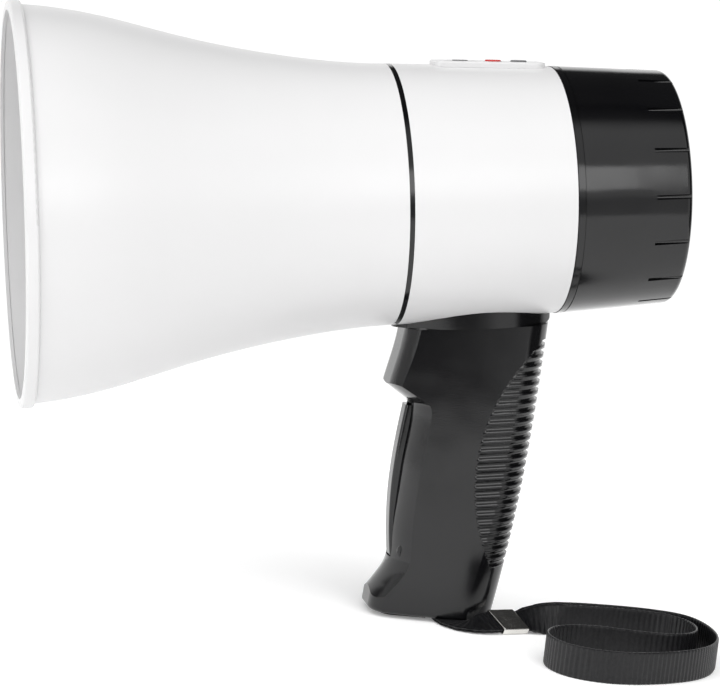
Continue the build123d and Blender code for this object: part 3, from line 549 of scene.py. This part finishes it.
# brightness of the studio round the object above and below eye level, by angle in degrees from -Y towards +X
upper_stops = [(-180, 1.05), (-60, 1.05), (-48, 0.9), (-38, 0.05), (-16, 0.05), (-2, 0.5), (14, 0.9),
               (34, 1.05), (56, 1.05), (64, 0.06), (100, 0.06), (110, 1.05), (180, 1.05)]
lower_stops = [(-180, 1.05), (-78, 1.05), (-62, 0.5), (-50, 0.04), (-24, 0.04), (-8, 0.12), (6, 0.22),
               (20, 0.5),
               (34, 1.05), (56, 1.05), (64, 0.06), (100, 0.06), (110, 1.05), (180, 1.05)]


def wall_ramp(stops):
    wall = sky.nodes.new("ShaderNodeValToRGB")
    sky.links.new(turn_share, wall.inputs[0])
    ramp = wall.color_ramp
    for index, (angle, bright) in enumerate(stops):
        at = (angle + 180) / 360
        if index == 0:
            stop = ramp.elements[0]
        elif index == len(stops) - 1:
            stop = ramp.elements[-1]
        else:
            stop = ramp.elements.new(at)
        stop.position = at
        stop.color = (bright, bright, bright, 1)
    return wall.outputs[0]


def height_share(height, low, high, at_low, at_high):
    """Smooth change with a height."""
    share = sky.nodes.new("ShaderNodeMapRange")
    share.interpolation_type = "SMOOTHSTEP"
    for name, value in (("From Min", low), ("From Max", high), ("To Min", at_low), ("To Max", at_high)):
        share.inputs[name].default_value = value
    sky.links.new(height, share.inputs["Value"])
    return share.outputs[0]


wall_mix = sky.nodes.new("ShaderNodeMix")
wall_mix.data_type = "RGBA"
sky.links.new(height_share(split.outputs["Z"], -0.06, 0.02, 0.0, 1.0), wall_mix.inputs[0])
sky.links.new(wall_ramp(lower_stops), wall_mix.inputs[6])
sky.links.new(wall_ramp(upper_stops), wall_mix.inputs[7])
# the white wall behind the object is lower than the one on the camera's side
behind = height_share(split.outputs["Y"], -0.35, 0.3, 0.0, 0.5)
wall_height = sky_node("ShaderNodeMath", split.outputs["Z"], behind, operation="ADD").outputs[0]
strength = sky_node("ShaderNodeMath", wall_mix.outputs[2], height_share(wall_height, 0.84, 0.99, 1.0, 0.04),
                    operation="MULTIPLY").outputs[0]
sky.links.new(strength, backdrop.inputs["Strength"])
backdrop.inputs["Color"].default_value = (1, 1, 1, 1)


def softbox(name, turn_angle, height_angle, distance, width, height, radiance):
    """Area light aimed at the megaphone from an angle round it and above it, as bright as asked for."""
    light = bpy.data.lights.new(name, "AREA")
    light.shape = "RECTANGLE"
    light.size = width
    light.size_y = height
    light.energy = radiance * math.pi * width * height
    lamp = bpy.data.objects.new(name, light)
    level = math.cos(math.radians(height_angle)) * distance
    aim = horn_point(137.5, 0, -50)
    lamp.location = aim + Vector((level * math.sin(math.radians(turn_angle)),
                                  -level * math.cos(math.radians(turn_angle)),
                                  distance * math.sin(math.radians(height_angle))))
    lamp.rotation_euler = (aim - lamp.location).to_track_quat("-Z", "Y").to_euler()
    lamp.visible_camera = False
    bpy.context.scene.collection.objects.link(lamp)


sun = bpy.data.lights.new("overhead", "SUN")
sun.energy = 2.7
sun.angle = math.radians(110)
sun_lamp = bpy.data.objects.new("overhead", sun)
sun_lamp.rotation_euler = Vector((0.25, 0.45, -1)).to_track_quat("-Z", "Y").to_euler()
sun_lamp.visible_glossy = False
bpy.context.scene.collection.objects.link(sun_lamp)
softbox("card", 10, 18, 1.6, 0.8, 0.58, 2.6)
softbox("key", -60, 6, 1.8, 0.3, 1.3, 4.2)

view_azimuth = math.radians(-9.561)
view_elevation = math.radians(7.800)
view_roll = math.radians(-0.7727)
view_distance = 1251.8
view_target = (137.52, 0.0, -59.62)
view_lens = 155.63

back = Vector((math.sin(view_azimuth) * math.cos(view_elevation),
               -math.cos(view_azimuth) * math.cos(view_elevation), math.sin(view_elevation)))
right_level = Vector((math.cos(view_azimuth), math.sin(view_azimuth), 0))
up_level = back.cross(right_level)
right = right_level * math.cos(view_roll) + up_level * math.sin(view_roll)
up = up_level * math.cos(view_roll) - right_level * math.sin(view_roll)


def turned(vector):
    """Direction given on the horn's own axes, in the frame's."""
    return rearward * vector.x + across * vector.y + upward * vector.z


camera_data = bpy.data.cameras.new("photo_view")
camera_data.sensor_width = 36
camera_data.sensor_fit = "HORIZONTAL"
camera_data.lens = view_lens
camera_data.clip_start = 0.05
camera_data.clip_end = 60
camera = bpy.data.objects.new("photo_view", camera_data)
place = horn_point(*view_target) + turned(back) * view_distance * mm
camera.matrix_world = Matrix((
    (*[turned(axis)[0] for axis in (right, up, back)], place[0]),
    (*[turned(axis)[1] for axis in (right, up, back)], place[1]),
    (*[turned(axis)[2] for axis in (right, up, back)], place[2]),
    (0, 0, 0, 1),
))
bpy.context.scene.collection.objects.link(camera)
bpy.context.scene.camera = camera
bpy.context.scene.view_settings.view_transform = "Standard"
